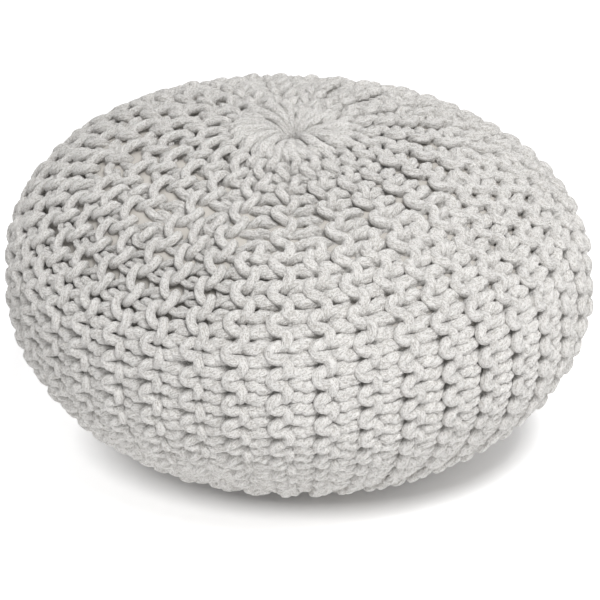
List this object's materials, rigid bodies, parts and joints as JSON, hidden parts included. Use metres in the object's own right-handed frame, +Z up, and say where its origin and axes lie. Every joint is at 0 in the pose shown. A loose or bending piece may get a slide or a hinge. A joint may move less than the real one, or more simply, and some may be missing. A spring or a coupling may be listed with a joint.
{
  "type": "knitted pouf",
  "caption": "Round low floor pouf in thick off-white cotton cord, garter knitted with upright ribs, gathered at the crown, filled firm and standing on a flat underside.",
  "frame": {"origin": "centre of the pouf's outline on the floor, in the plane of its flat underside", "axes": "+Z up through the gathered crown, -Y towards the front, +X to the right seen from the front"},
  "size_m": [0.5, 0.4926, 0.3],
  "materials": {
    "cotton_cord": "matt twisted cotton cord, off-white, garter knitted"
  },
  "bodies": {
    "root": {"knitted_pouf": "cotton_cord"}
  },
  "joints": []
}
